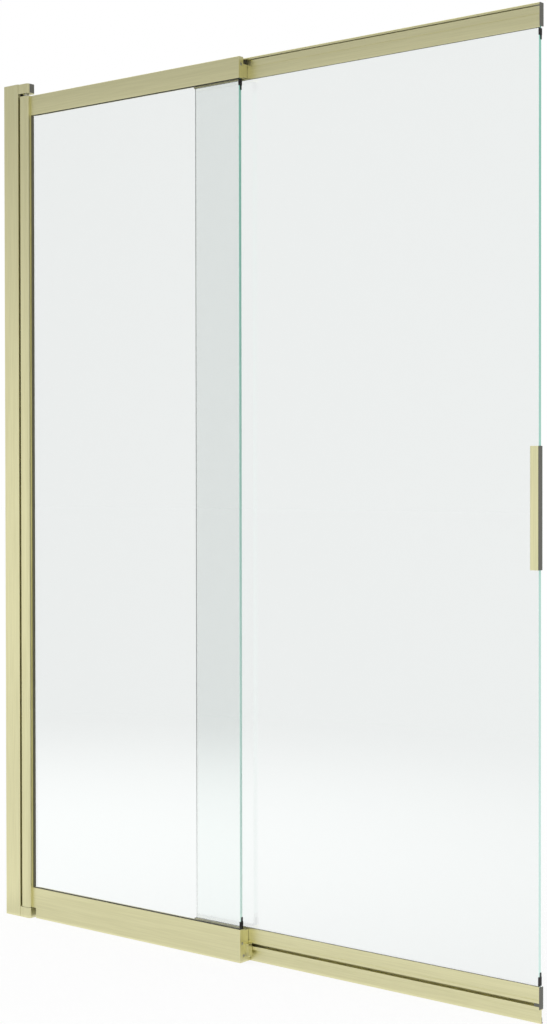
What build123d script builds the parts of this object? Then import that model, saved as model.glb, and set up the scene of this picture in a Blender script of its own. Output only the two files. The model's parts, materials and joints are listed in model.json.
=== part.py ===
from build123d import *
import os

# Sliding bath screen: a fixed panel that pivots on a wall profile, and a second panel that slides behind it.
# X runs from the wall along the screen, Y from the room side to the bath side, Z up from the bath rim.
# X = 0 is the wall, Y = 0 is the middle of the pivot post, Z = 0 is the rim.

# Overall sizes
overall_height = 1500.0
overall_width = 1100.0
fixed_end_x = 551.0
panel_overlap = 115.0
glass_thickness = 6.0
glass_arris = 0.5

# Wall channel and the profile that slides over it
profile_width = 37.0
profile_depth = 19.0
profile_wall = 1.5
profile_radius = 0.8
profile_off_wall = 0.4
profile_cap_height = 1.2
cap_plug_height = 8.0
channel_reach = 24.0
channel_wall = 1.6
channel_floor = 2.0
channel_drop = 2.0
channel_fit = 0.2
adjusting_slot = 10.0

# Pivot blocks and pins
pivot_gap = 3.3
pivot_radius = 3.0
pivot_from_post_side = 9.0
pin_floor = 4.0
pin_collar = 1.4
bush_height = 8.0
top_block_height = 17.0
top_block_gap = 5.0
top_block_drop = 1.0
bottom_block_height = 18.5
washer_thickness = 0.4
washer_reach = 2.6
tongue_height = 32.0
tongue_drop = 1.5
neck_shoulder = 0.7
cover_thickness = 1.2
cover_floor_thickness = 1.0
cover_floor_inset = 9.0
seam_width = 0.9
seam_depth = 1.5
pivot_seal_width = 6.0
pivot_seal_thickness = 0.4

# Pivot post
post_width = 21.6
post_wall = 1.5
post_radius = 4.5
post_hinge_radius = 3.5
post_front_wall = 2.2
post_web = 1.2
post_lip = 1.5
lip_wall = 1.2
post_glass_bite = 3.5
post_gasket_base = 1.0
post_gasket_face = 3.6
post_gasket_back_face = 1.0

# Rail sections, measured back from the rail's front face and out from its glass edge
rail_height = 35.0
sliding_top_height = 35.8
rail_off_post_back = 1.2
glass_pocket = 18.0
gasket_base = 2.0
gasket_lip = 0.5
gasket_wrap = 0.5
web = 2.0
edge_radius = 0.8
fixed_wall = 1.6
fixed_gasket_side = 0.9
rear_box_depth = 9.5
rear_box_from = 2.0
rear_box_reach = 24.0
box_wall = 1.4
sliding_wall = 1.2
sliding_gasket_side = 0.8
back_wall_from = 3.0
track_lip = 2.0
track_back = 1.4
track_cover = 1.8
top_mouth_from = 30.6
shadow_line_height = 1.4
shadow_line_depth = 0.6
top_line_from = 34.1
top_line_height = 0.6
port_radius = 1.9
port_wall = 1.3
port_floor = 0.9
port_tie = 1.4

# Foot of the bottom rails
foot_height = 20.0
foot_gap = 1.2
foot_radius = 5.0
foot_wall = 1.6
foot_chamber_radius = 1.0
foot_port_depth = 9.0
foot_port_drop = 7.3
skirt_setback = 5.5
skirt_thickness = 2.0
rim_clearance = 1.0
skirt_to_rim = 0.4
seal_slot_from = 10.0
seal_slot_width = 6.0
seal_slot_height = 3.6
seal_slot_mouth = 3.0
seal_slot_lip = 1.4
seal_slot_wall = 1.5
seal_to_rim = 0.2
skirt_seal_thickness = 1.2
skirt_seal_height = 8.8
skirt_seal_toe = 1.2
skirt_toe_height = 1.8
notch_reach = 7.6

# Rollers, carriages, shoes and stops
axle_radius = 1.5
axle_head = 0.8
axle_head_thickness = 0.2
roller_edge = 0.4
roller_hole_radius = 0.9
roller_hole_count = 5
hanger_thickness = 1.2
hanger_gap = 0.2
hanger_leg_inset = 8.0
hanger_leg_below_axle = 4.0
nose_wall = 0.45
nose_gap = 0.55
nose_width = 12.0
axle_seat_depth = 6.5
carriage_overhang = 8.0
carriage_lug_low_z = 9.0
carriage_lug_setback = 1.5
carriage_lug_radius = 3.0
right_roller_inset = 17.0
left_roller_inset = 11.7
carriage_screw_spread = 14.0
shoe_length = 22.0
shoe_head_depth = 4.0
stop_length = 11.3
buffer_length = 3.0
buffer_margin = 1.0

# End caps, clips and handle
end_cap_thickness = 2.0
right_cap_thickness = 1.0
cap_peg = 3.0
cap_tongue = 9.0
cap_tongue_setback = 0.4
top_cap_from = 2.0
bottom_cap_from = 0.7
bottom_cap_to = 33.2
clip_wrap = 0.9
clip_wall = 0.8
clip_tail_setback = 2.5
fixed_glass_inset = 2.1
sliding_glass_inset = 2.5
fixed_top_clip = (11.0, 7.0)
fixed_bottom_clip = (12.0, 7.0)
sliding_top_clip = (10.0, 6.0)
sliding_bottom_clip = (13.0, 6.0)
handle_width = 13.3
handle_height = 180.0
handle_centre_z = 749.0
handle_front = 5.5
handle_bar_depth = 2.0
handle_back = 1.5
handle_edge = 1.2
handle_round = 0.9

# Fasteners
screw_radius = 1.8
screw_head_radius = 3.4
screw_head_height = 1.8
screw_head_round = 0.9
flush_head_radius = 2.7
flush_head_height = 0.9
flush_head_drop = 1.1
hex_socket_radius = 1.2
hex_socket_depth = 0.7
end_screw_length = 9.0
rail_screw_bite = 16.0
wall_hole_radius = 2.6
wall_hole_spacing = 400.0
wall_hole_count = 4
fixing_x = 14.0
fixing_spacing = 600.0
fixing_count = 3
fixing_rise = 40.0
fixing_screw_length = 6.0
block_screw_length = 9.0
block_screw_low_z = 8.0
block_screw_from_top = 10.0
block_screw_spacing = 14.0
snap_cap_radius = 5.5
snap_cap_rim = 1.0
snap_cap_slope = 1.6
snap_cap_height = 2.6
snap_cap_hollow = 2.0

# Clearances, and how far a cutting tool runs past a face
running_gap = 0.5
slack = 0.3
film = 0.2
fit = 0.1
bore_clearance = 0.05
past = 1.0

# Depths worked out from the glass
fixed_depth = glass_thickness + 2 * (fixed_wall + fixed_gasket_side)
sliding_depth = glass_thickness + 2 * (sliding_wall + sliding_gasket_side)
half_depth = profile_depth / 2
profile_inside = half_depth - profile_wall
front_y = half_depth - rail_off_post_back - fixed_depth
slot_front_y = front_y + fixed_depth
slot_back_y = slot_front_y + rear_box_depth
sliding_front_y = slot_back_y + running_gap
fixed_glass_y = front_y + fixed_wall + fixed_gasket_side
sliding_glass_y = sliding_front_y + sliding_wall + sliding_gasket_side
foot_depth = sliding_front_y + skirt_setback - running_gap - front_y

# Heights
block_top_z = overall_height - top_block_drop
top_block_z = block_top_z - top_block_height
rail_top_z = top_block_z - top_block_gap
top_edge_z = rail_top_z - rail_height
bottom_edge_z = foot_height + rail_height
post_bottom_z = bottom_block_height + washer_thickness + film
glass_seat = glass_pocket - gasket_base
glass_low_z = bottom_edge_z - glass_seat
glass_high_z = top_edge_z + glass_seat

# Places along the screen
profile_face_x = profile_width - profile_wall
post_left = profile_width + pivot_gap
post_right = post_left + post_width
pivot_x = post_left + pivot_from_post_side
fixed_start_x = post_right + post_lip
fixed_cap_x = fixed_end_x - end_cap_thickness
fixed_glass_start = post_right - post_glass_bite
fixed_glass_end = fixed_end_x - fixed_glass_inset
post_pocket_x = fixed_glass_start - post_gasket_base
post_chamber_x = post_pocket_x - post_web
sliding_end_x = overall_width
sliding_start_x = fixed_end_x - panel_overlap
slider_rail_start = sliding_start_x + end_cap_thickness
slider_rail_end = sliding_end_x - right_cap_thickness
sliding_glass_start = sliding_start_x + sliding_glass_inset
sliding_glass_end = sliding_end_x - sliding_glass_inset
shoe_end_x = slider_rail_start + shoe_length
carriage_start_x = shoe_end_x + slack
carriage_end_x = fixed_end_x + carriage_overhang
roller_places = {"left": carriage_start_x + left_roller_inset, "right": fixed_end_x - right_roller_inset}
stop_end_x = fixed_start_x + stop_length

# Track and what runs in it
track_from = glass_pocket + web
track_to = rail_height - track_cover
roller_rise = (track_from + track_to) / 2
roller_radius = (track_to - track_from) / 2 - slack
hole_ring_radius = (axle_radius + roller_radius) / 2
hanger_front_y = sliding_front_y + track_lip + running_gap
roller_front_y = hanger_front_y + hanger_thickness + running_gap
roller_back_y = sliding_front_y + sliding_depth - track_back - slack - axle_head_thickness / 2
top_mouth_height = hanger_thickness + 2 * hanger_gap
bottom_mouth_height = 2 * (axle_radius + nose_wall + nose_gap)
bottom_mouth_from = roller_rise - bottom_mouth_height / 2
hanger_rise = top_mouth_from + hanger_gap
port_rise = glass_pocket + web + port_radius + port_floor
foot_top_rise = rail_height + foot_gap
foot_low_rise = rail_height + foot_height - rim_clearance
skirt_low_rise = rail_height + foot_height - skirt_to_rim
slot_middle_y = (slot_front_y + slot_back_y) / 2


def box_face(u0, u1, v0, v1, radius=0.0):
    """A rectangle between two corners, with rounded corners where a radius is given."""
    face = Rectangle(u1 - u0, v1 - v0)
    if radius:
        face = fillet(face.vertices(), radius)
    return Pos((u0 + u1) / 2, (v0 + v1) / 2) * face


def brick(x0, x1, y0, y1, z0, z1):
    """A plain block between two corners."""
    return Pos((x0 + x1) / 2, (y0 + y1) / 2, (z0 + z1) / 2) * Box(x1 - x0, y1 - y0, z1 - z0)


def upright(face, z0, z1):
    """A plan outline drawn up from z0 to z1."""
    return extrude(Pos(0, 0, z0) * face, amount=z1 - z0)


def along_rail(section, y, x0, x1, at_top):
    """A rail section drawn along X; sections are drawn for the top rail and mirrored for the bottom one."""
    if not at_top:
        section = mirror(section, about=Plane.XZ)
    return extrude(Plane.YZ.offset(x0) * (Pos(y, rail_level(0, at_top)) * section), amount=x1 - x0)


def rod(radius, start, direction, length):
    """A round bar from a point along a direction."""
    return extrude(Plane(origin=start, z_dir=direction) * Circle(radius), amount=length)


def rail_level(rise, at_top):
    """Height of a line that lies a given distance out from the glass edge of a rail."""
    if at_top:
        return top_edge_z + rise
    return bottom_edge_z - rise


def rail_band(x0, x1, y0, y1, rise0, rise1, at_top):
    """A block beside a rail, placed by its distance out from the glass edge."""
    low, high = sorted((rail_level(rise0, at_top), rail_level(rise1, at_top)))
    return brick(x0, x1, y0, y1, low, high)


# Fasteners

def pan_screw(x, y, z, direction, length):
    """A screw with a shallow domed head whose underside is at the given point."""
    back = tuple(-part for part in direction)
    head = rod(screw_head_radius, (x, y, z), direction, screw_head_height)
    rim = head.edges().filter_by(GeomType.CIRCLE).sort_by(Axis((x, y, z), direction))[-1]
    return fillet(rim, screw_head_round) + rod(screw_radius, (x, y, z), back, length)


def flush_screw(y, z):
    """A socket screw let into the end of a fixed rail."""
    seat_x = fixed_end_x - flush_head_drop
    socket_x = seat_x + flush_head_height - hex_socket_depth
    head = rod(flush_head_radius, (seat_x, y, z), (1, 0, 0), flush_head_height)
    socket = Plane(origin=(socket_x, y, z), z_dir=(1, 0, 0)) * RegularPolygon(hex_socket_radius, 6)
    shank = rod(screw_radius, (seat_x, y, z), (-1, 0, 0), end_screw_length)
    return head + shank - extrude(socket, amount=hex_socket_depth + past)


# Wall side

def spread(middle, spacing, count):
    """Evenly spaced places, centred on a middle."""
    return [middle + (n - (count - 1) / 2) * spacing for n in range(count)]


def wall_hole_heights():
    return spread(overall_height / 2, wall_hole_spacing, wall_hole_count)


def fixing_heights():
    return spread(overall_height / 2 + fixing_rise, fixing_spacing, fixing_count)


def block_screw_places():
    """Screws of the two pivot blocks as (x, z): the top pair, then the bottom pair."""
    x = (channel_reach + profile_face_x) / 2
    high = overall_height - profile_cap_height - block_screw_from_top
    low = block_screw_low_z
    return [(x, high), (x, high - block_screw_spacing), (x, low), (x, low + block_screw_spacing)]


def side_hole(x, z, radius):
    """A hole through the bath-side walls of the two nested wall profiles."""
    start = profile_inside - channel_fit - channel_wall - past
    return rod(radius, (x, start, z), (0, 1, 0), half_depth + past - start)


def wall_channel():
    """U-shaped channel that is screwed to the wall."""
    outer = profile_inside - channel_fit
    inner = outer - channel_wall
    plan = box_face(0, channel_reach, -outer, outer, edge_radius)
    plan -= box_face(channel_floor, channel_reach + past, -inner, inner)
    body = upright(plan, 0, overall_height - profile_cap_height - channel_drop)
    for z in wall_hole_heights():
        body -= rod(wall_hole_radius, (-past, 0, z), (1, 0, 0), channel_floor + 2 * past)
    for z in fixing_heights():
        body -= side_hole(fixing_x, z, screw_radius)
    return body


def adjusting_profile():
    """Outer profile that slides over the wall channel and carries the pivot blocks."""
    plan = box_face(profile_off_wall, profile_width, -half_depth, half_depth, profile_radius)
    plan -= box_face(0, profile_face_x, -profile_inside, profile_inside)
    body = upright(plan, 0, overall_height - profile_cap_height)
    gate = profile_inside - neck_shoulder + film
    for z0, z1 in ((-past, bottom_block_height), (top_block_z, overall_height)):
        body -= brick(profile_face_x - past, profile_width + past, -gate, gate, z0, z1)
    for z in fixing_heights():
        slot = SlotOverall(adjusting_slot, 2 * (screw_radius + film))
        face = Plane(origin=(fixing_x, profile_inside - past, z), z_dir=(0, 1, 0)) * slot
        body -= extrude(face, amount=profile_wall + 2 * past)
    for x, z in block_screw_places():
        body -= side_hole(x, z, screw_radius)
    return body


def adjustment_screws():
    return [pan_screw(fixing_x, half_depth, z, (0, 1, 0), fixing_screw_length) for z in fixing_heights()]


def snap_cap(z):
    """Domed cover that snaps over an adjustment screw."""
    bore = screw_head_radius + fit
    outline = make_face(Polyline((bore, 0), (snap_cap_radius, 0), (snap_cap_radius, snap_cap_rim),
                                 (snap_cap_radius - snap_cap_slope, snap_cap_height), (0, snap_cap_height),
                                 (0, snap_cap_hollow), (bore, snap_cap_hollow), (bore, 0)))
    place = Plane(origin=(fixing_x, half_depth, z), x_dir=(1, 0, 0), z_dir=(0, 0, 1))
    return revolve(place * outline, axis=Axis((fixing_x, half_depth, z), (0, 1, 0)))


def screw_caps():
    return [snap_cap(z) for z in fixing_heights()]


def wall_profile_cap():
    """Lid of the wall profile, with a plug that drops inside the channel."""
    top = overall_height - profile_cap_height
    lid = box_face(profile_off_wall, profile_width, -half_depth, half_depth, profile_radius)
    plug = profile_inside - channel_fit - channel_wall - slack
    plug_face = box_face(channel_floor + slack, channel_reach, -plug, plug, edge_radius)
    return upright(lid, top, overall_height) + upright(plug_face, top - cap_plug_height, top)


def block_plan():
    """Plan of a pivot block: rounded at its free corners, with a seam in front where it meets the profile."""
    plan = box_face(profile_width, post_right, -half_depth, half_depth)
    plan = fillet(plan.vertices().sort_by(Axis.X)[-2:], post_radius)
    return plan - box_face(0, profile_width + seam_width, -profile_width, seam_depth - half_depth)


def cover_plan():
    """Thin front skin of the top block, from the seam round to the side of its free corner."""
    inner = box_face(profile_width - past, post_right - cover_thickness,
                     cover_thickness - half_depth, half_depth - cover_thickness)
    inner = fillet(inner.vertices().sort_by(Axis.X)[-2:], post_radius - cover_thickness)
    front_part = box_face(profile_width + seam_width, post_right,
                          -half_depth, -half_depth + post_radius + running_gap)
    return (block_plan() - inner) & front_part


def cover_floor_plan():
    """Plate under the top block that the pin's collar bears on, joined to the front skin."""
    return block_plan() & box_face(pivot_x - cover_floor_inset, post_right, -half_depth, half_depth)


def block_root(z0, z1, tongue_z0, tongue_z1):
    """Neck and tongue of a pivot block, which slide into the wall profile."""
    neck = profile_inside - neck_shoulder
    tongue = profile_inside - fit
    tongue_x0 = channel_reach + running_gap
    root = brick(profile_face_x - film, profile_width, -neck, neck, z0, z1)
    return root + brick(tongue_x0, profile_face_x - fit, -tongue, tongue, tongue_z0, tongue_z1)


def top_pivot_block():
    body = upright(block_plan() - cover_plan(), top_block_z, block_top_z)
    body -= upright(cover_floor_plan(), top_block_z, top_block_z + cover_floor_thickness)
    tongue_top = block_top_z - tongue_drop
    body += block_root(top_block_z + film, tongue_top, block_top_z - tongue_height, tongue_top)
    body -= rod(pivot_radius, (pivot_x, 0, block_top_z - pin_floor), (0, 0, -1), top_block_height)
    for x, z in block_screw_places()[:2]:
        body -= rod(screw_radius, (x, half_depth, z), (0, -1, 0), block_screw_length)
    return body


def top_block_cover():
    cover = upright(cover_plan(), top_block_z, block_top_z)
    cover += upright(cover_floor_plan(), top_block_z, top_block_z + cover_floor_thickness)
    pin_hole = rod(pivot_radius, (pivot_x, 0, top_block_z - past), (0, 0, 1),
                   cover_floor_thickness + 2 * past)
    return cover - pin_hole


def bottom_pivot_block():
    body = upright(block_plan(), 0, bottom_block_height)
    body += block_root(0, bottom_block_height - film, 0, tongue_height)
    body -= rod(pivot_radius, (pivot_x, 0, pin_floor), (0, 0, 1), bottom_block_height)
    for x, z in block_screw_places()[2:]:
        body -= rod(screw_radius, (x, half_depth, z), (0, -1, 0), block_screw_length)
    return body


def block_screws():
    return [pan_screw(x, half_depth, z, (0, 1, 0), block_screw_length) for x, z in block_screw_places()]


def top_pivot_pin():
    """Pin between the top block and the post, with a collar in the gap between them."""
    low = rail_top_z - bush_height
    pin = rod(pivot_radius, (pivot_x, 0, low), (0, 0, 1), block_top_z - pin_floor - low)
    collar_z = rail_top_z + slack
    return pin + rod(pivot_radius + pin_collar, (pivot_x, 0, collar_z), (0, 0, 1), top_block_z - collar_z)


def bottom_pivot_pin():
    return rod(pivot_radius, (pivot_x, 0, pin_floor), (0, 0, 1), post_bottom_z + bush_height - pin_floor)


def thrust_washer():
    ring = Circle(pivot_radius + washer_reach) - Circle(pivot_radius + fit)
    return extrude(Pos(pivot_x, 0, bottom_block_height) * ring, amount=washer_thickness)


def pivot_seal():
    """Flat seal on the side of the wall profile, facing the post."""
    half = pivot_seal_width / 2
    strip = box_face(profile_width, profile_width + pivot_seal_thickness, -half, half)
    return upright(strip, bottom_block_height, top_block_z)


# Pivot post

def post_chamber():
    inner = half_depth - post_wall
    plan = box_face(post_left + post_wall, post_chamber_x, -inner, inner)
    return fillet(plan.vertices().sort_by(Axis.X)[:2], post_hinge_radius - post_wall)


def pivot_post():
    """Extruded post: a round-cornered tube with a pocket and two lips for the glass."""
    plan = box_face(post_left, post_right, -half_depth, half_depth)
    plan = fillet(plan.vertices().sort_by(Axis.X)[:2], post_hinge_radius)
    plan = fillet(plan.vertices().sort_by(Axis.X)[-2:], post_radius)
    pocket_front = front_y + lip_wall
    pocket_back = slot_front_y - lip_wall
    for lip_y in (front_y, pocket_back):
        plan += box_face(post_right - post_wall, fixed_start_x, lip_y, lip_y + lip_wall)
    plan -= post_chamber()
    plan -= box_face(post_pocket_x, fixed_start_x + past, pocket_front, pocket_back)
    plan -= box_face(post_pocket_x, post_right - post_wall, post_front_wall - half_depth, front_y - post_web)
    body = upright(plan, post_bottom_z, rail_top_z)
    for at_top in (True, False):
        y, z = port_place(at_top)
        body -= rod(screw_head_radius + slack, (post_left - past, y, z), (1, 0, 0), post_wall + 2 * past)
        body -= rod(screw_radius, (post_chamber_x - past, y, z), (1, 0, 0), post_web + 2 * past)
    return body


def bush(z):
    """Plug of the post's chamber with the bore for a pivot pin."""
    plan = offset(post_chamber(), -bore_clearance) - Pos(pivot_x, 0) * Circle(pivot_radius + bore_clearance)
    return upright(plan, z, z + bush_height)


def post_gasket():
    """Glazing gasket folded round the glass edge that stands in the post."""
    y0 = front_y + lip_wall
    y1 = slot_front_y - lip_wall
    face_x = fixed_start_x + post_gasket_face
    plan = box_face(post_pocket_x, face_x, y0, y1)
    plan += box_face(fixed_start_x, face_x, y0 - film, y1 + film, film)
    plan -= box_face(fixed_glass_start, face_x + past, fixed_glass_y, fixed_glass_y + glass_thickness)
    plan -= box_face(fixed_start_x + post_gasket_back_face, face_x + past,
                     fixed_glass_y + glass_thickness / 2, y1 + past)
    return upright(plan, bottom_edge_z + gasket_lip + slack, top_edge_z - gasket_lip - slack)


def rail_screws():
    """Screws inside the post that hold the fixed rails by their ports."""
    screws = []
    for at_top in (True, False):
        y, z = port_place(at_top)
        head = rod(screw_head_radius, (post_chamber_x, y, z), (-1, 0, 0), screw_head_height)
        shank_length = fixed_start_x - post_chamber_x + rail_screw_bite
        screws.append(head + rod(screw_radius, (post_chamber_x, y, z), (1, 0, 0), shank_length))
    return screws


# Glass panels

def glass_panel(x0, x1, y):
    pane = brick(x0, x1, y, y + glass_thickness, glass_low_z, glass_high_z)
    return chamfer(pane.edges().filter_by(Axis.Z), glass_arris)


# Fixed rails

def port_place(at_top):
    return front_y + fixed_depth / 2, rail_level(port_rise, at_top)


def fixed_outline():
    """Outside of the fixed rail: the glass box in front and the rear box that carries the rollers."""
    front_box = box_face(0, fixed_depth, 0, rail_height, edge_radius)
    rear_box = box_face(fixed_depth - fixed_wall, fixed_depth + rear_box_depth, rear_box_from, rear_box_reach)
    return front_box + rear_box


def port_hole(depth, rise):
    return Pos(depth, rise) * Circle(port_radius)


def port_boss(depth, rise):
    return Pos(depth, rise) * Circle(port_radius + port_wall)


def fixed_section():
    """Section of the fixed rail: glass pocket, screw chamber with its port, and rear box."""
    inside = fixed_depth - fixed_wall
    middle = fixed_depth / 2
    section = fixed_outline()
    section -= box_face(fixed_wall, inside, -past, glass_pocket)
    section -= box_face(fixed_wall, inside, glass_pocket + web, rail_height - fixed_wall)
    section -= box_face(fixed_depth, fixed_depth + rear_box_depth - box_wall,
                        rear_box_from + box_wall, rear_box_reach - box_wall)
    section += box_face(fixed_wall, inside, port_rise - port_tie / 2, port_rise + port_tie / 2)
    return section + port_boss(middle, port_rise) - port_hole(middle, port_rise)


def foot_outline():
    """Outside of the foot, with its far corner rounded, and the neck up to the rail."""
    foot = box_face(0, foot_depth, foot_top_rise, foot_low_rise)
    far_corner = foot.vertices().sort_by(Axis.X)[-2:].sort_by(Axis.Y)[0]
    foot = fillet(far_corner, foot_radius)
    return foot + box_face(0, fixed_depth, rail_height - edge_radius, foot_top_rise + edge_radius)


def foot_section():
    """Hollow foot below the rear slot, with a slot for the rim seal and a port for the end-cap screw."""
    slot = seal_slot_from
    slot_end = slot + seal_slot_width
    slot_top = foot_low_rise - seal_slot_lip - seal_slot_height
    mouth = (slot + slot_end - seal_slot_mouth) / 2
    port_at = foot_top_rise + foot_port_drop
    section = foot_outline()
    section -= box_face(fixed_wall, foot_depth - foot_wall, foot_top_rise + foot_wall,
                        foot_low_rise - foot_wall, foot_chamber_radius)
    section += box_face(slot - seal_slot_wall, slot_end + seal_slot_wall,
                        slot_top - seal_slot_wall, foot_low_rise)
    section -= box_face(slot, slot_end, slot_top, foot_low_rise - seal_slot_lip)
    section -= box_face(mouth, mouth + seal_slot_mouth, slot_top, foot_low_rise + past)
    section += port_boss(foot_port_depth, port_at)
    section += box_face(foot_port_depth - port_tie / 2, foot_port_depth + port_tie / 2,
                        foot_top_rise, port_at)
    return section - port_hole(foot_port_depth, port_at)


def fixed_top_rail():
    return along_rail(fixed_section(), front_y, fixed_start_x, fixed_cap_x, True)


def fixed_bottom_rail():
    """Bottom rail with its foot, cut away at the wall end to clear the pivot block."""
    section = fixed_section() + foot_section()
    section -= box_face(fixed_wall, fixed_depth - fixed_wall,
                        rail_height - fixed_wall, foot_top_rise + foot_wall)
    rail = along_rail(section, front_y, fixed_start_x, fixed_cap_x, False)
    notch_end = fixed_start_x + notch_reach
    return rail - brick(fixed_start_x - past, notch_end, front_y - past, front_y + foot_depth + past,
                        -past, post_bottom_z)


def end_cap_ports(at_top):
    """Screw places of a fixed end cap as (y, z)."""
    places = [port_place(at_top)]
    if not at_top:
        places.append((front_y + foot_port_depth, rail_level(foot_top_rise + foot_port_drop, False)))
    return places


def fixed_end_cap(at_top):
    outline = fixed_outline()
    if not at_top:
        outline += foot_outline()
    cap = along_rail(outline, front_y, fixed_cap_x, fixed_end_x, at_top)
    for y, z in end_cap_ports(at_top):
        cap -= rod(screw_radius, (fixed_cap_x - past, y, z), (1, 0, 0), end_cap_thickness + past)
        cap -= rod(flush_head_radius + fit, (fixed_end_x - flush_head_drop, y, z), (1, 0, 0),
                   flush_head_drop + past)
    return cap


def end_cap_screws():
    return [flush_screw(y, z) for at_top in (True, False) for y, z in end_cap_ports(at_top)]


# Sliding rails

def sliding_section(height, mouth_from, mouth_height):
    """Glass pocket, shadow line, and a C-shaped track whose mouth faces the fixed rail."""
    inside = sliding_depth - sliding_wall
    line = glass_pocket + (web - shadow_line_height) / 2
    section = box_face(0, sliding_depth, 0, height, edge_radius)
    section -= box_face(sliding_wall, inside, -past, glass_pocket)
    section -= box_face(sliding_depth / 2, sliding_depth + past, -past, back_wall_from)
    section -= box_face(track_lip, sliding_depth - track_back, track_from, track_to)
    section -= box_face(-past, track_lip + past, mouth_from, mouth_from + mouth_height)
    return section - box_face(-past, shadow_line_depth, line, line + shadow_line_height)


def sliding_top_rail():
    section = sliding_section(sliding_top_height, top_mouth_from, top_mouth_height)
    section -= box_face(-past, shadow_line_depth, top_line_from, top_line_from + top_line_height)
    return along_rail(section, sliding_front_y, slider_rail_start, slider_rail_end, True)


def sliding_bottom_rail():
    """Bottom rail with a skirt that hangs behind the foot of the fixed rail."""
    section = sliding_section(rail_height, bottom_mouth_from, bottom_mouth_height)
    section += box_face(skirt_setback, skirt_setback + skirt_thickness,
                        rail_height - edge_radius, skirt_low_rise)
    return along_rail(section, sliding_front_y, slider_rail_start, slider_rail_end, False)


def sliding_end_cap(at_top, at_right):
    """Moulded cap with a peg that plugs the track, at the right also with a tongue in the track's mouth."""
    joint = slider_rail_end if at_right else slider_rail_start
    side = 1 if at_right else -1
    thickness = right_cap_thickness if at_right else end_cap_thickness
    low, high = (top_cap_from, sliding_top_height) if at_top else (bottom_cap_from, bottom_cap_to)
    plate_face = box_face(0, sliding_depth, low, high, edge_radius)
    plate_x0, plate_x1 = sorted((joint, joint + side * thickness))
    plate = along_rail(plate_face, sliding_front_y, plate_x0, plate_x1, at_top)
    peg_face = box_face(track_lip + fit, sliding_depth - track_back - fit, track_from + fit, track_to - fit)
    peg_x0, peg_x1 = sorted((joint, joint - side * cap_peg))
    cap = plate + along_rail(peg_face, sliding_front_y, peg_x0, peg_x1, at_top)
    if not at_right:
        return cap
    mouth_from, mouth_height = bottom_mouth_from, bottom_mouth_height
    if at_top:
        mouth_from, mouth_height = top_mouth_from, top_mouth_height
    tongue_face = box_face(cap_tongue_setback, track_lip + running_gap,
                           mouth_from + fit, mouth_from + mouth_height - fit)
    return cap + along_rail(tongue_face, sliding_front_y, joint - cap_tongue, joint, at_top)


# Gaskets and seals

def rail_gasket(depth, wall, back_from, x0, x1, y, at_top):
    """U-shaped gasket between the glass and the walls of its pocket, with a small proud lip."""
    glass_from = (depth - glass_thickness) / 2
    section = box_face(wall, depth - wall, 0, glass_pocket)
    section += box_face(wall - gasket_wrap, depth - wall + gasket_wrap, -gasket_lip, 0)
    if back_from:
        section -= box_face(depth / 2, depth, -gasket_lip - past, back_from)
    section -= box_face(glass_from, glass_from + glass_thickness, -gasket_lip - past, glass_seat)
    return along_rail(section, y, x0, x1, at_top)


def fixed_gasket(at_top):
    start = fixed_start_x + post_gasket_face + slack
    return rail_gasket(fixed_depth, fixed_wall, 0, start, fixed_glass_end, front_y, at_top)


def sliding_gasket(at_top):
    return rail_gasket(sliding_depth, sliding_wall, back_wall_from, sliding_glass_start, sliding_glass_end,
                       sliding_front_y, at_top)


def fixed_rim_seal():
    """T-headed wiper under the fixed rail."""
    slot_y = front_y + seal_slot_from
    mouth_y = slot_y + (seal_slot_width - seal_slot_mouth) / 2
    slot_low = rim_clearance + seal_slot_lip
    face = box_face(slot_y + fit, slot_y + seal_slot_width - fit,
                    slot_low + fit, slot_low + seal_slot_height - fit)
    face += box_face(mouth_y + fit, mouth_y + seal_slot_mouth - fit, seal_to_rim, slot_low + running_gap)
    start = fixed_start_x + notch_reach
    return extrude(Plane.YZ.offset(start) * face, amount=fixed_cap_x - start)


def sliding_rim_seal():
    """Wiper strip bonded behind the skirt of the sliding rail."""
    y = sliding_front_y + skirt_setback + skirt_thickness
    toe_y = y + skirt_seal_thickness + skirt_seal_toe
    face = box_face(y, y + skirt_seal_thickness, seal_to_rim, seal_to_rim + skirt_seal_height)
    face += box_face(y, toe_y, seal_to_rim, seal_to_rim + skirt_toe_height)
    return extrude(Plane.YZ.offset(slider_rail_start) * face, amount=slider_rail_end - slider_rail_start)


def edge_clip(edge_x, y, at_top, lengths):
    """Clip over the upright edge of the glass where it meets a rail: a thick shell, then a thin tail."""
    shell_length, tail_length = lengths
    start = rail_level(-gasket_lip - fit, at_top)
    step = -1 if at_top else 1
    outer = edge_x + clip_wall
    z0, z1 = sorted((start, start + step * shell_length))
    shell = brick(edge_x - clip_wrap, outer, y - clip_wall, y + glass_thickness + clip_wall, z0, z1)
    tail_z0, tail_z1 = sorted((start, start + step * (shell_length + tail_length)))
    tail = brick(edge_x, outer, y + clip_tail_setback, y + glass_thickness, tail_z0, tail_z1)
    return shell + tail - brick(edge_x - 2 * clip_wrap, edge_x, y, y + glass_thickness, z0 - past, z1 + past)


def fixed_edge_clips():
    return [edge_clip(fixed_glass_end, fixed_glass_y, True, fixed_top_clip),
            edge_clip(fixed_glass_end, fixed_glass_y, False, fixed_bottom_clip)]


def sliding_edge_clips():
    return [edge_clip(sliding_glass_end, sliding_glass_y, True, sliding_top_clip),
            edge_clip(sliding_glass_end, sliding_glass_y, False, sliding_bottom_clip)]


# Rollers and what carries them

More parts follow.
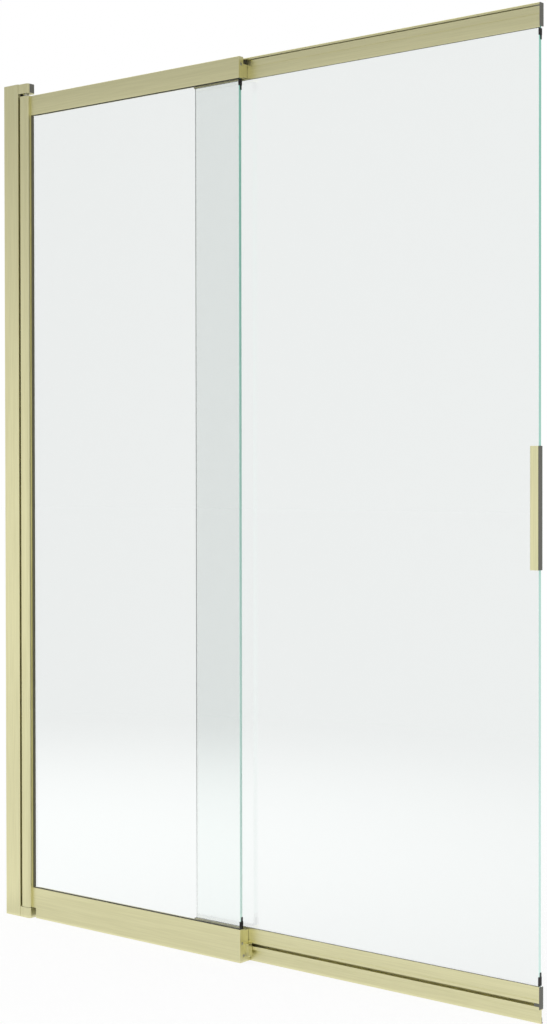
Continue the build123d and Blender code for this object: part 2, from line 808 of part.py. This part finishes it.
def roller(x, at_top):
    """Track roller with broken edges and a ring of lightening holes."""
    z = rail_level(roller_rise, at_top)
    width = roller_back_y - roller_front_y
    bore = axle_radius + bore_clearance
    tread = roller_radius - roller_edge
    outline = make_face(Polyline((bore, 0), (tread, 0), (roller_radius, roller_edge),
                                 (roller_radius, width - roller_edge), (tread, width),
                                 (bore, width), (bore, 0)))
    place = Plane(origin=(x, roller_front_y, z), x_dir=(1, 0, 0), z_dir=(0, 0, 1))
    wheel = revolve(place * outline, axis=Axis((x, roller_front_y, z), (0, 1, 0)))
    face = Plane(origin=(x, roller_front_y - past, z), z_dir=(0, 1, 0))
    for spot in PolarLocations(hole_ring_radius, roller_hole_count):
        wheel -= extrude(face * spot * Circle(roller_hole_radius), amount=width + 2 * past)
    return wheel


def axles(start_y, at_top):
    """Pins of one rail's rollers, with a thin head behind each roller."""
    z = rail_level(roller_rise, at_top)
    head_y = roller_back_y + bore_clearance
    pins = []
    for x in roller_places.values():
        shank = rod(axle_radius, (x, start_y, z), (0, 1, 0), head_y - start_y)
        pins.append(shank + rod(axle_radius + axle_head, (x, head_y, z), (0, 1, 0), axle_head_thickness))
    return pins


def carriage_screw_xs():
    middle = sum(roller_places.values()) / len(roller_places)
    return [middle - carriage_screw_spread, middle + carriage_screw_spread]


def top_hanger():
    """Bent plate that enters the top track through its narrow mouth and turns down to hold the axles."""
    back = hanger_front_y + hanger_thickness
    flat = rail_band(carriage_start_x, carriage_end_x, slot_front_y + past, back,
                     hanger_rise, hanger_rise + hanger_thickness, True)
    leg = rail_band(carriage_start_x + hanger_leg_inset, carriage_end_x - hanger_leg_inset,
                    hanger_front_y, back, roller_rise - hanger_leg_below_axle, hanger_rise, True)
    plate = flat + leg
    for x in roller_places.values():
        plate -= rod(axle_radius, (x, hanger_front_y - past, rail_level(roller_rise, True)), (0, 1, 0),
                     hanger_thickness + 2 * past)
    for x in carriage_screw_xs():
        plate -= rod(screw_radius, (x, slot_middle_y, rail_level(hanger_rise - past, True)), (0, 0, 1),
                     hanger_thickness + 2 * past)
    return plate


def top_roller_carriage():
    """Packing block in the slot above the rear box, under the hanger plate."""
    block = rail_band(carriage_start_x, fixed_end_x, slot_front_y + film, slot_back_y,
                      rear_box_reach, hanger_rise, True)
    for x in carriage_screw_xs():
        block -= rod(screw_radius, (x, slot_middle_y, rail_level(hanger_rise + past, True)), (0, 0, -1),
                     hanger_rise - rear_box_reach + 2 * past)
    return block


def top_carriage_screws():
    head_z = rail_level(hanger_rise + hanger_thickness, True)
    length = hanger_rise + hanger_thickness - rear_box_reach
    return [pan_screw(x, slot_middle_y, head_z, (0, 0, 1), length) for x in carriage_screw_xs()]


def carriage_screw_seat():
    """Where the heads of the bottom carriage screws sit, as (y, z)."""
    return slot_back_y - screw_head_height - fit, rail_level((rear_box_reach + foot_top_rise) / 2, False)


def carriage_lug():
    """Round-cornered end of the bottom carriage, which hangs down past the end of the foot."""
    lug = brick(fixed_end_x + slack, carriage_end_x, slot_front_y + carriage_lug_setback, slot_back_y,
                carriage_lug_low_z, rail_level(rear_box_reach + past, False))
    return fillet(lug.edges().filter_by(Axis.Y).sort_by(Axis.Z)[:2], carriage_lug_radius)


def bottom_roller_carriage():
    """Cast block in the rear slot of the bottom rail, with a nose for each axle."""
    axle_z = rail_level(roller_rise, False)
    block = rail_band(carriage_start_x, carriage_end_x, slot_front_y, slot_back_y,
                      rear_box_reach, foot_top_rise, False)
    nose_half = axle_radius + nose_wall
    for x in roller_places.values():
        block += brick(x - nose_width / 2, x + nose_width / 2, slot_back_y - past, roller_front_y - slack,
                       axle_z - nose_half, axle_z + nose_half)
        block -= rod(axle_radius, (x, slot_back_y - axle_seat_depth, axle_z), (0, 1, 0),
                     rear_box_depth + axle_seat_depth)
    block += carriage_lug()
    seat_y, seat_z = carriage_screw_seat()
    for x in carriage_screw_xs():
        block -= rod(screw_head_radius + fit, (x, seat_y, seat_z), (0, 1, 0), rear_box_depth)
        block -= rod(screw_radius, (x, slot_front_y - past, seat_z), (0, 1, 0), rear_box_depth)
    return block


def bottom_carriage_screws():
    seat_y, seat_z = carriage_screw_seat()
    return [pan_screw(x, seat_y, seat_z, (0, 1, 0), seat_y - slot_front_y) for x in carriage_screw_xs()]


def glide_shoe(at_top):
    """Shoe keyed in the near end of a sliding track; its foot runs in the slot of the fixed rail."""
    x0, x1 = slider_rail_start, shoe_end_x
    head_x0 = x0 + cap_peg + fit
    head_y = sliding_front_y + track_lip + fit
    mouth_from, mouth_height = bottom_mouth_from, bottom_mouth_height
    foot_to = foot_top_rise - foot_gap - past
    if at_top:
        mouth_from, mouth_height = top_mouth_from, top_mouth_height
        foot_to = mouth_from + mouth_height - fit
    stem_from, stem_to = mouth_from + fit, mouth_from + mouth_height - fit
    head = rail_band(head_x0, x1, head_y, head_y + shoe_head_depth,
                     track_from + film, track_to - film, at_top)
    stem = rail_band(head_x0, x1, slot_back_y - past, head_y + past, stem_from, stem_to, at_top)
    stem += rail_band(x0, head_x0, slot_back_y - past, head_y - film, stem_from, stem_to, at_top)
    foot = rail_band(x0, x1, slot_front_y + slack, slot_back_y, rear_box_reach + slack, foot_to, at_top)
    return head + stem + foot


def slot_top_rise(at_top):
    """How far the stop blocks and buffers reach in the slot of a fixed rail."""
    if at_top:
        return top_mouth_from - film
    return foot_top_rise


def stop_block(at_top):
    """Stop in the slot of the fixed rail, at the post."""
    return rail_band(fixed_start_x, stop_end_x, slot_front_y, slot_back_y - film,
                     rear_box_reach, slot_top_rise(at_top), at_top)


def stop_buffers():
    """Soft pads on the stops, which the glide shoes meet when the screen is closed up."""
    pads = []
    for at_top in (True, False):
        pads.append(rail_band(stop_end_x, stop_end_x + buffer_length, slot_front_y + buffer_margin,
                              slot_back_y - buffer_margin, rear_box_reach + film,
                              slot_top_rise(at_top) - buffer_margin, at_top))
    return pads


# Handle

def handle_sides():
    right = sliding_glass_end + handle_edge
    return right - handle_width, right


def handle_bar_back():
    return sliding_glass_y - handle_front + handle_bar_depth


def handle_post(plan):
    low = handle_centre_z - handle_height / 2
    return upright(plan, low, low + handle_height)


def handle():
    """Bright front bar of the edge handle."""
    left, right = handle_sides()
    return handle_post(box_face(left, right, sliding_glass_y - handle_front, handle_bar_back(), handle_round))


def handle_body():
    """Dark channel that grips the edge of the glass and carries the bar."""
    left, right = handle_sides()
    back = sliding_glass_y + glass_thickness
    plan = box_face(left, right, handle_bar_back(), back + handle_back)
    return handle_post(plan - box_face(left - past, sliding_glass_end, sliding_glass_y, back))


def wall_nodes():
    return {
        "wall_channel": wall_channel(),
        "adjusting_profile": adjusting_profile(),
        "adjustment_screws": adjustment_screws(),
        "screw_caps": screw_caps(),
        "wall_profile_cap": wall_profile_cap(),
        "top_pivot_block": top_pivot_block(),
        "top_block_cover": top_block_cover(),
        "bottom_pivot_block": bottom_pivot_block(),
        "block_screws": block_screws(),
        "top_pivot_pin": top_pivot_pin(),
        "bottom_pivot_pin": bottom_pivot_pin(),
        "thrust_washer": thrust_washer(),
        "pivot_seal": pivot_seal(),
    }


def fixed_panel_nodes():
    return {
        "pivot_post": pivot_post(),
        "top_bush": bush(rail_top_z - bush_height),
        "bottom_bush": bush(post_bottom_z),
        "post_gasket": post_gasket(),
        "rail_screws": rail_screws(),
        "fixed_glass": glass_panel(fixed_glass_start, fixed_glass_end, fixed_glass_y),
        "fixed_top_rail": fixed_top_rail(),
        "fixed_bottom_rail": fixed_bottom_rail(),
        "fixed_top_gasket": fixed_gasket(True),
        "fixed_bottom_gasket": fixed_gasket(False),
        "fixed_top_end_cap": fixed_end_cap(True),
        "fixed_bottom_end_cap": fixed_end_cap(False),
        "end_cap_screws": end_cap_screws(),
        "fixed_edge_clips": fixed_edge_clips(),
        "fixed_rim_seal": fixed_rim_seal(),
        "top_roller_carriage": top_roller_carriage(),
        "top_hanger": top_hanger(),
        "top_carriage_screws": top_carriage_screws(),
        "top_axles": axles(hanger_front_y, True),
        "bottom_roller_carriage": bottom_roller_carriage(),
        "bottom_carriage_screws": bottom_carriage_screws(),
        "bottom_axles": axles(slot_back_y - axle_seat_depth, False),
        "top_stop_block": stop_block(True),
        "bottom_stop_block": stop_block(False),
        "stop_buffers": stop_buffers(),
    }


def sliding_panel_nodes():
    return {
        "sliding_glass": glass_panel(sliding_glass_start, sliding_glass_end, sliding_glass_y),
        "sliding_top_rail": sliding_top_rail(),
        "sliding_bottom_rail": sliding_bottom_rail(),
        "sliding_top_gasket": sliding_gasket(True),
        "sliding_bottom_gasket": sliding_gasket(False),
        "sliding_edge_clips": sliding_edge_clips(),
        "sliding_rim_seal": sliding_rim_seal(),
        "top_glide_shoe": glide_shoe(True),
        "bottom_glide_shoe": glide_shoe(False),
        "handle": handle(),
        "handle_body": handle_body(),
    }


def repeated_nodes():
    """The four end caps of the sliding rails and the four rollers."""
    parts = {}
    for level, at_top in (("top", True), ("bottom", False)):
        for side, x in roller_places.items():
            parts[f"{level}_{side}_end_cap"] = sliding_end_cap(at_top, side == "right")
            parts[f"{level}_{side}_roller"] = roller(x, at_top)
    return parts


nodes = {**wall_nodes(), **fixed_panel_nodes(), **sliding_panel_nodes(), **repeated_nodes()}
os.makedirs("parts", exist_ok=True)
for name, solid in nodes.items():
    if isinstance(solid, list):
        solid = Compound(children=[piece.solid() for piece in solid])
    export_step(solid, f"parts/{name}.step")
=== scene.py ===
"""Sliding bath screen: a brushed brass-tone frame round two clear panes, one sliding behind the other."""
import json
import math

import bmesh
import bpy
from mathutils import Matrix, Vector

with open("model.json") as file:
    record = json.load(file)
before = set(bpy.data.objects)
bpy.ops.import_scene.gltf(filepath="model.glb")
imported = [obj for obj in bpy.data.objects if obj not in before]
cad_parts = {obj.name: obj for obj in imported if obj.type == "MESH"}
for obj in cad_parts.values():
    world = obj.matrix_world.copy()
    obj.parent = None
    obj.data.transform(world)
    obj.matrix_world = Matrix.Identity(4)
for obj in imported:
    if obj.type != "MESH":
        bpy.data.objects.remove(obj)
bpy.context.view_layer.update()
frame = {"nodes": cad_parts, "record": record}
nodes = frame["nodes"]
scene = bpy.context.scene

# A length written in millimetres, in the metres that Blender works in
mm = 0.001


# Colours and shader nodes

def linear(hex_colour):
    """An sRGB hex colour as the linear values that the shaders take."""
    channels = [int(hex_colour[i:i + 2], 16) / 255 for i in (1, 3, 5)]
    straight = [c / 12.92 if c <= 0.04045 else ((c + 0.055) / 1.055) ** 2.4 for c in channels]
    return (*straight, 1.0)


def darker(colour, share):
    """A darker shade of a linear colour, with this share of its light."""
    return (*(share * channel for channel in colour[:3]), 1.0)


def add(tree, kind, settings=None, **links):
    """Adds a shader node and fills its inputs, named by their names or, as _0 and _1, by their numbers.

    A value is set on the input, and a socket is joined to it.
    """
    made = tree.nodes.new(kind)
    for name, value in (settings or {}).items():
        setattr(made, name, value)
    for name, value in links.items():
        socket = made.inputs[int(name[1:])] if name[0] == "_" else made.inputs[name.replace("_", " ")]
        if isinstance(value, bpy.types.NodeSocket):
            tree.links.new(value, socket)
        else:
            socket.default_value = value
    return made


def new_material(name):
    """An empty node material and the tree that it is drawn in."""
    material = bpy.data.materials.new(name)
    material.use_nodes = True
    material.node_tree.nodes.clear()
    return material, material.node_tree


def finish_material(tree, shader, **surface):
    """Adds the surface's shader and joins it to the material's output."""
    made = add(tree, shader, **surface)
    add(tree, "ShaderNodeOutputMaterial", _0=made.outputs[0])


def math_of(tree, operation, first, second=0.0, third=0.0):
    """A number worked out from up to three others."""
    return add(tree, "ShaderNodeMath", {"operation": operation}, _0=first, _1=second, _2=third).outputs[0]


def blend(tree, amount, first, second):
    """A colour between two others."""
    return add(tree, "ShaderNodeMix", {"data_type": "RGBA"}, _0=amount, _6=first, _7=second).outputs[2]


def fade(tree, value, start, end, low=0.0, high=1.0):
    """Goes from low to high while the value goes from start to end, softly at both ends."""
    return add(tree, "ShaderNodeMapRange", {"interpolation_type": "SMOOTHSTEP"},
               Value=value, From_Min=start, From_Max=end, To_Min=low, To_Max=high).outputs[0]


def object_place(tree):
    """The point on the piece, in metres in its own rest pose, so that a pattern moves with it."""
    return add(tree, "ShaderNodeTexCoord").outputs["Object"]


# how much of a noise lies in its finer layers, and the two values that most of it lies between
NOISE_FINENESS = 0.55
NOISE_LOW = 0.3
NOISE_HIGH = 0.7


def streaks(tree, place, spacing, detail=2.0):
    """Noise stretched to one size along each of X, Y and Z, given in metres."""
    scaled = add(tree, "ShaderNodeMapping", {"vector_type": "POINT"},
                 Vector=place, Scale=tuple(1 / size for size in spacing)).outputs[0]
    return add(tree, "ShaderNodeTexNoise",
               Vector=scaled, Scale=1.0, Detail=detail, Roughness=NOISE_FINENESS).outputs[0]


def varied_roughness(tree, noise, at_low, at_high):
    """A roughness that follows a noise."""
    return add(tree, "ShaderNodeMapRange", Value=noise, From_Min=NOISE_LOW, From_Max=NOISE_HIGH,
               To_Min=at_low, To_Max=at_high).outputs[0]


# Brass-tone anodised aluminium

BRASS_TONE = linear("#E9E5B8")
BRASS_DULL = linear("#E1DDB0")
BRASS_DULL_ROUGHNESS = 0.44
BRASS_TONE_ROUGHNESS = 0.34
# the streaks' noise is all dull under the first value and all bright over the second
DULL_UNDER = 0.35
BRIGHT_OVER = 0.65
# the real brushing is finer than 0.2 mm; it is drawn this coarse so that it shows in the picture
BRUSH_WIDTH = 1.6 * mm
BRUSH_LENGTH = 70 * mm
BRUSH_DEPTH = 0.06 * mm
BRUSH_RELIEF = 0.12
# broader streaks lie among the fine ones: how many times as large, and their share of the whole
BROAD_SIZE = 3.5
BROAD_SHARE = 0.4
# the rails' flat faces are shaded as if they bulged slightly, round this radius, about these heights
CROWN_RADIUS = 250 * mm
TOP_RAIL_MIDDLE = 1459.5 * mm
BOTTOM_RAIL_MIDDLE = 37.5 * mm


def rail_crown(tree, place):
    """How far a slightly bulging face of a rail would stand out, in metres."""
    height = add(tree, "ShaderNodeSeparateXYZ", Vector=place).outputs["Z"]
    at_top = math_of(tree, "GREATER_THAN", height, (TOP_RAIL_MIDDLE + BOTTOM_RAIL_MIDDLE) / 2)
    middle = math_of(tree, "MULTIPLY_ADD", at_top, TOP_RAIL_MIDDLE - BOTTOM_RAIL_MIDDLE, BOTTOM_RAIL_MIDDLE)
    off_middle = math_of(tree, "SUBTRACT", height, middle)
    # near its middle an arc falls by the square of the distance over twice its radius
    return math_of(tree, "MULTIPLY", math_of(tree, "MULTIPLY", off_middle, off_middle), -0.5 / CROWN_RADIUS)


def brushed_brass(name, grain_axis, crowned=False):
    """Brushed and anodised aluminium: a soft satin metal with fine streaks along the extrusion."""
    material, tree = new_material(name)
    place = object_place(tree)
    size = [BRUSH_WIDTH] * 3
    size["XYZ".index(grain_axis)] = BRUSH_LENGTH
    fine = streaks(tree, place, size, detail=3.0)
    broad = streaks(tree, place, [BROAD_SIZE * length for length in size])
    fine_part = math_of(tree, "MULTIPLY", fine, 1 - BROAD_SHARE)
    both = math_of(tree, "MULTIPLY_ADD", broad, BROAD_SHARE, fine_part)
    colour = blend(tree, fade(tree, both, DULL_UNDER, BRIGHT_OVER), BRASS_DULL, BRASS_TONE)
    rough = varied_roughness(tree, both, BRASS_DULL_ROUGHNESS, BRASS_TONE_ROUGHNESS)
    relief = add(tree, "ShaderNodeBump", Strength=BRUSH_RELIEF, Distance=BRUSH_DEPTH, Height=both)
    if crowned:
        crown = add(tree, "ShaderNodeBump", Strength=1.0, Distance=1.0, Height=rail_crown(tree, place))
        tree.links.new(crown.outputs[0], relief.inputs["Normal"])
    finish_material(tree, "ShaderNodeBsdfPrincipled", Base_Color=colour, Metallic=1.0, Roughness=rough,
                    Normal=relief.outputs[0])
    return material


# Clear toughened glass

GLASS_TINT = linear("#FCFFFE")
GLASS_EDGE_HIGH = linear("#8FCDBB")
# the pale edge colour at the foot is a painted reflection of the white floor, not a colour of the glass
GLASS_EDGE_FLOOR_REFLECTION = linear("#D8F8EF")
# the green of an edge is deep from this height upwards; below it a painted reflection of the white floor
# pales it towards the foot
EDGE_DEEP_FROM = 1300 * mm
# real glass has about 1.52; this is higher, for the strong grey mirroring that the panes show
GLASS_IOR = 1.9
# a face's normal lies along Y by more than the first, and the wall edge's along -X by more than the second
FACE_NORMAL = 0.9
WALL_EDGE_NORMAL = 0.5


def clear_glass():
    """Toughened float glass with polished edges: its faces are almost colourless, its edges sea green, with a
    painted reflection of the white floor paling them towards the foot.
    """
    material, tree = new_material("toughened_glass")
    normal = add(tree, "ShaderNodeSeparateXYZ", Vector=add(tree, "ShaderNodeTexCoord").outputs["Normal"])
    facing = math_of(tree, "ABSOLUTE", normal.outputs["Y"])
    on_face = math_of(tree, "GREATER_THAN", facing, FACE_NORMAL)
    height = add(tree, "ShaderNodeSeparateXYZ", Vector=object_place(tree)).outputs["Z"]
    # how much painted floor reflection pales the edge colour, growing towards the foot
    floor_reflection_share = fade(tree, height, EDGE_DEEP_FROM, 0.0)
    # the edge's own sea green, blended with the painted reflection of the white floor lower down
    edge_green_and_reflection = blend(tree, floor_reflection_share, GLASS_EDGE_HIGH, GLASS_EDGE_FLOOR_REFLECTION)
    # the edge towards the wall is drawn as clear as the faces
    # seen from inside the glass, the normal is turned round, so it is turned back to point outwards
    inside = add(tree, "ShaderNodeNewGeometry").outputs["Backfacing"]
    turned = math_of(tree, "MULTIPLY_ADD", inside, -2.0, 1.0)
    outwards = math_of(tree, "MULTIPLY", normal.outputs["X"], turned)
    on_wall_edge = math_of(tree, "LESS_THAN", outwards, -WALL_EDGE_NORMAL)
    clear = math_of(tree, "MAXIMUM", on_face, on_wall_edge)
    finish_material(tree, "ShaderNodeBsdfPrincipled", Base_Color=blend(tree, clear, edge_green_and_reflection, GLASS_TINT),
                    Roughness=0.0, IOR=GLASS_IOR, Transmission_Weight=clear)
    return material


# Plastics, rubber and plain metals

# the darkest a pebble gets, how far the roughness strays, and how strongly the grain stands out
PEBBLE_SHADE = 0.8
PEBBLE_ROUGHNESS = 0.06
PEBBLE_RELIEF = 0.3
# the same for the marks on bare metal, which have no relief
MARK_SHADE = 0.88
MARK_ROUGHNESS = 0.07


def moulded(name, colour, roughness, grain, relief):
    """A moulded surface: one colour with a fine pebbled grain."""
    material, tree = new_material(name)
    pebbles = streaks(tree, object_place(tree), [grain] * 3)
    rough = varied_roughness(tree, pebbles, roughness - PEBBLE_ROUGHNESS, roughness + PEBBLE_ROUGHNESS)
    shade = blend(tree, pebbles, linear(colour), darker(linear(colour), PEBBLE_SHADE))
    bump = add(tree, "ShaderNodeBump", Strength=PEBBLE_RELIEF, Distance=relief, Height=pebbles).outputs[0]
    finish_material(tree, "ShaderNodeBsdfPrincipled", Base_Color=shade, Roughness=rough, Normal=bump)
    return material


def plain_metal(name, colour, roughness, grain):
    """A bare metal: mill or turned finish, with fine marks."""
    material, tree = new_material(name)
    marks = streaks(tree, object_place(tree), grain)
    rough = varied_roughness(tree, marks, roughness - MARK_ROUGHNESS, roughness + MARK_ROUGHNESS)
    shade = blend(tree, marks, linear(colour), darker(linear(colour), MARK_SHADE))
    finish_material(tree, "ShaderNodeBsdfPrincipled", Base_Color=shade, Metallic=1.0, Roughness=rough)
    return material


brass_along = brushed_brass("brushed_brass_rail", "X", crowned=True)
brass_upright = brushed_brass("brushed_brass_post", "Z")
finishes = {
    "brass_aluminium": brass_upright,
    "mill_aluminium": plain_metal("mill_aluminium", "#C9C9C6", roughness=0.42,
                                  grain=[4 * mm, 4 * mm, 60 * mm]),
    "clear_glass": clear_glass(),
    "grey_rubber": moulded("olive_glazing_rubber", "#5E5C4A", roughness=0.6, grain=1.2 * mm,
                           relief=0.05 * mm),
    "black_rubber": moulded("black_rubber", "#101010", roughness=0.6, grain=1.2 * mm, relief=0.05 * mm),
    "grey_plastic": moulded("grained_abs", "#63635B", roughness=0.5, grain=0.8 * mm, relief=0.08 * mm),
    "black_nylon": moulded("moulded_nylon", "#35342F", roughness=0.45, grain=1.0 * mm, relief=0.05 * mm),
    "white_acetal": moulded("turned_acetal", "#E9E9E4", roughness=0.35, grain=1.0 * mm, relief=0.02 * mm),
    "stainless_steel": plain_metal("stainless_steel", "#BFBFBD", roughness=0.3,
                                   grain=[1.5 * mm, 1.5 * mm, 6 * mm]),
}
along_the_rail = {"fixed_top_rail", "fixed_bottom_rail", "sliding_top_rail", "sliding_bottom_rail"}

for part in frame["record"]["subparts"]:
    node = part["node"]
    finish = brass_along if node in along_the_rail else finishes[part["material_slot"]]
    for slot in nodes[node].material_slots:
        slot.material = finish


# Studio, in metres: a white floor, a white surround, and a grey scrim that only reflections see

FLOOR_HALF_SIDE = 30.0
# how much of the floor's white is its own where it is the background, and the surround's light elsewhere
FLOOR_GLOW = 0.86
SURROUND_LIGHT = 0.75


def stage_object(name, mesh, material):
    """A piece of the studio, which is not part of the screen."""
    made = bpy.data.objects.new(name, mesh)
    scene.collection.objects.link(made)
    mesh.materials.append(material)
    return made


def floor_mesh(half_side):
    """A flat square floor at the height of the bath's rim."""
    shape = bmesh.new()
    bmesh.ops.create_grid(shape, x_segments=1, y_segments=1, size=half_side)
    mesh = bpy.data.meshes.new("studio_floor")
    shape.to_mesh(mesh)
    shape.free()
    return mesh


def background_ray(tree):
    """Is one for the rays that show the background: straight from the camera, off metal or through glass."""
    path = add(tree, "ShaderNodeLightPath").outputs
    seen = math_of(tree, "MAXIMUM", path["Is Camera Ray"], path["Is Glossy Ray"])
    return math_of(tree, "MAXIMUM", seen, path["Is Transmission Ray"])


def white_floor():
    """Matt white paper. Most of its white is its own, so that it meets the surround with no line."""
    material, tree = new_material("white_paper_floor")
    paper = add(tree, "ShaderNodeBsdfDiffuse", Color=linear("#FAFAFA"))
    glow = add(tree, "ShaderNodeEmission", Color=linear("#FFFFFF"), Strength=1.0)
    share = math_of(tree, "MULTIPLY", background_ray(tree), FLOOR_GLOW)
    finish_material(tree, "ShaderNodeMixShader", _0=share, _1=paper.outputs[0], _2=glow.outputs[0])
    return material


SCRIM_MIDDLE_X = -0.5
SCRIM_INNER = 0.45
SCRIM_OUTER = 2.4
SCRIM_HEIGHT = 4.0
SCRIM_LIFT = 4 * mm
SCRIM_SIDES = 72
SCRIM_GREY = linear("#959595")
# the scrim on the floor, as the brass mirrors it: it thins out with the distance from its middle
FLOOR_DENSITY = 0.24
FLOOR_FADE = (1.2, 2.2)
# the same higher up, where it thickens with the height
HIGH_DENSITY = 0.8
HIGH_FADE = (0.5, 2.5)
# the same behind the screen, where it comes and goes with the turn round its middle
BEHIND_DENSITY = 0.45
BEHIND_START = (math.radians(-5), math.radians(20))
BEHIND_END = (math.radians(135), math.radians(105))


def scrim_mesh():
    """A round wall of scrim with a flat skirt of it lying on the floor, open in the middle and at the top."""
    outline = [(SCRIM_INNER, SCRIM_LIFT), (SCRIM_OUTER, SCRIM_LIFT), (SCRIM_OUTER, SCRIM_HEIGHT)]
    turns = [2 * math.pi * side / SCRIM_SIDES for side in range(SCRIM_SIDES)]
    corners = [(SCRIM_MIDDLE_X + r * math.cos(turn), r * math.sin(turn), z)
               for r, z in outline for turn in turns]
    faces = []
    for ring in range(len(outline) - 1):
        this_ring = ring * SCRIM_SIDES
        next_ring = this_ring + SCRIM_SIDES
        for side in range(SCRIM_SIDES):
            after = (side + 1) % SCRIM_SIDES
            faces.append((this_ring + side, this_ring + after, next_ring + after, next_ring + side))
    mesh = bpy.data.meshes.new("reflected_scrim")
    mesh.from_pydata(corners, [], faces)
    return mesh


def scrim_cloth():
    """Grey scrim as a studio hangs it round glass. It shows in reflections only.

    The glass's sharp reflections see one density of it, and the soft ones of the brass another.
    """
    material, tree = new_material("grey_studio_scrim")
    path = add(tree, "ShaderNodeLightPath").outputs
    mirrored = math_of(tree, "GREATER_THAN", path["Glossy Depth"], 0.5)
    sharp = path["Is Singular Ray"]
    point = add(tree, "ShaderNodeSeparateXYZ",
                Vector=add(tree, "ShaderNodeNewGeometry").outputs["Position"]).outputs
    out_x = math_of(tree, "SUBTRACT", point["X"], SCRIM_MIDDLE_X)
    squares = math_of(tree, "MULTIPLY_ADD", out_x, out_x, math_of(tree, "MULTIPLY", point["Y"], point["Y"]))
    from_middle = math_of(tree, "SQRT", squares)
    for_glass = fade(tree, from_middle, SCRIM_INNER, SCRIM_OUTER)
    on_floor = fade(tree, from_middle, *FLOOR_FADE, FLOOR_DENSITY, 0.0)
    overhead = math_of(tree, "ADD", on_floor, fade(tree, point["Z"], *HIGH_FADE, 0.0, HIGH_DENSITY))
    turn = math_of(tree, "ARCTAN2", point["Y"], out_x)
    behind = math_of(tree, "MULTIPLY", fade(tree, turn, *BEHIND_START, 0.0, BEHIND_DENSITY),
                     fade(tree, turn, *BEHIND_END))
    for_metal = math_of(tree, "MAXIMUM", overhead, behind)
    density = add(tree, "ShaderNodeMix", {"data_type": "FLOAT"},
                  _0=sharp, _2=for_metal, _3=for_glass).outputs[0]
    clear = add(tree, "ShaderNodeBsdfTransparent", Color=linear("#FFFFFF"))
    grey = add(tree, "ShaderNodeEmission", Color=SCRIM_GREY, Strength=1.0)
    share = math_of(tree, "MULTIPLY", mirrored, density)
    finish_material(tree, "ShaderNodeMixShader", _0=share, _1=clear.outputs[0], _2=grey.outputs[0])
    return material


stage_object("studio_floor", floor_mesh(FLOOR_HALF_SIDE), white_floor())
scrim = stage_object("reflected_scrim", scrim_mesh(), scrim_cloth())
scrim.visible_camera = False
scrim.visible_diffuse = False
scrim.visible_shadow = False

world = bpy.data.worlds.new("white_surround")
scene.world = world
world.use_nodes = True
sky = world.node_tree
sky.nodes.clear()
surround_light = fade(sky, background_ray(sky), 0.0, 1.0, SURROUND_LIGHT, 1.0)
surround = add(sky, "ShaderNodeBackground", Color=linear("#FFFFFF"), Strength=surround_light)
add(sky, "ShaderNodeOutputWorld", _0=surround.outputs[0])


def soft_sun(name, strength, spread_deg, turn_deg, height_deg):
    """A wide soft lamp far away, so that its light doesn't fall off along the screen."""
    lamp = bpy.data.lights.new(name, "SUN")
    lamp.energy = strength
    lamp.angle = math.radians(spread_deg)
    made = bpy.data.objects.new(name, lamp)
    turn = math.radians(turn_deg)
    height = math.radians(height_deg)
    towards = Vector((math.cos(turn) * math.cos(height), math.sin(turn) * math.cos(height), math.sin(height)))
    made.rotation_euler = towards.to_track_quat("Z", "Y").to_euler()
    scene.collection.objects.link(made)


soft_sun("key_softbox", strength=0.8, spread_deg=60, turn_deg=-50, height_deg=55)
soft_sun("fill_softbox", strength=0.4, spread_deg=60, turn_deg=-150, height_deg=40)


# Camera, at the place that the photograph's perspective gives

# the photograph's height, its focal length, and how far down the view's centre lies, all in pixels
IMAGE_HEIGHT = 1024
FOCAL_PIXELS = 1801.65
VIEW_CENTRE = 494.41
CAMERA_PLACE = Vector((2438.99 * mm, -2243.45 * mm, 798.55 * mm))
CAMERA_TURN = math.radians(39.037)
CAMERA_PITCH = math.radians(-0.644)
CAMERA_ROLL = math.radians(-0.073)

lens = bpy.data.cameras.new("photo_camera")
lens.sensor_fit = "AUTO"
lens.sensor_width = 36.0
lens.lens = FOCAL_PIXELS * lens.sensor_width / IMAGE_HEIGHT
lens.shift_y = (VIEW_CENTRE - IMAGE_HEIGHT / 2) / IMAGE_HEIGHT
lens.clip_start = 0.05
lens.clip_end = 200.0
camera = bpy.data.objects.new("photo_camera", lens)
camera.location = CAMERA_PLACE
turned_round = Matrix.Rotation(CAMERA_TURN, 3, "Z")
tipped_up = Matrix.Rotation(math.pi / 2 + CAMERA_PITCH, 3, "X")
rolled = Matrix.Rotation(CAMERA_ROLL, 3, "Z")
camera.rotation_euler = (turned_round @ tipped_up @ rolled).to_euler()
scene.collection.objects.link(camera)
scene.camera = camera

scene.view_settings.view_transform = "Standard"
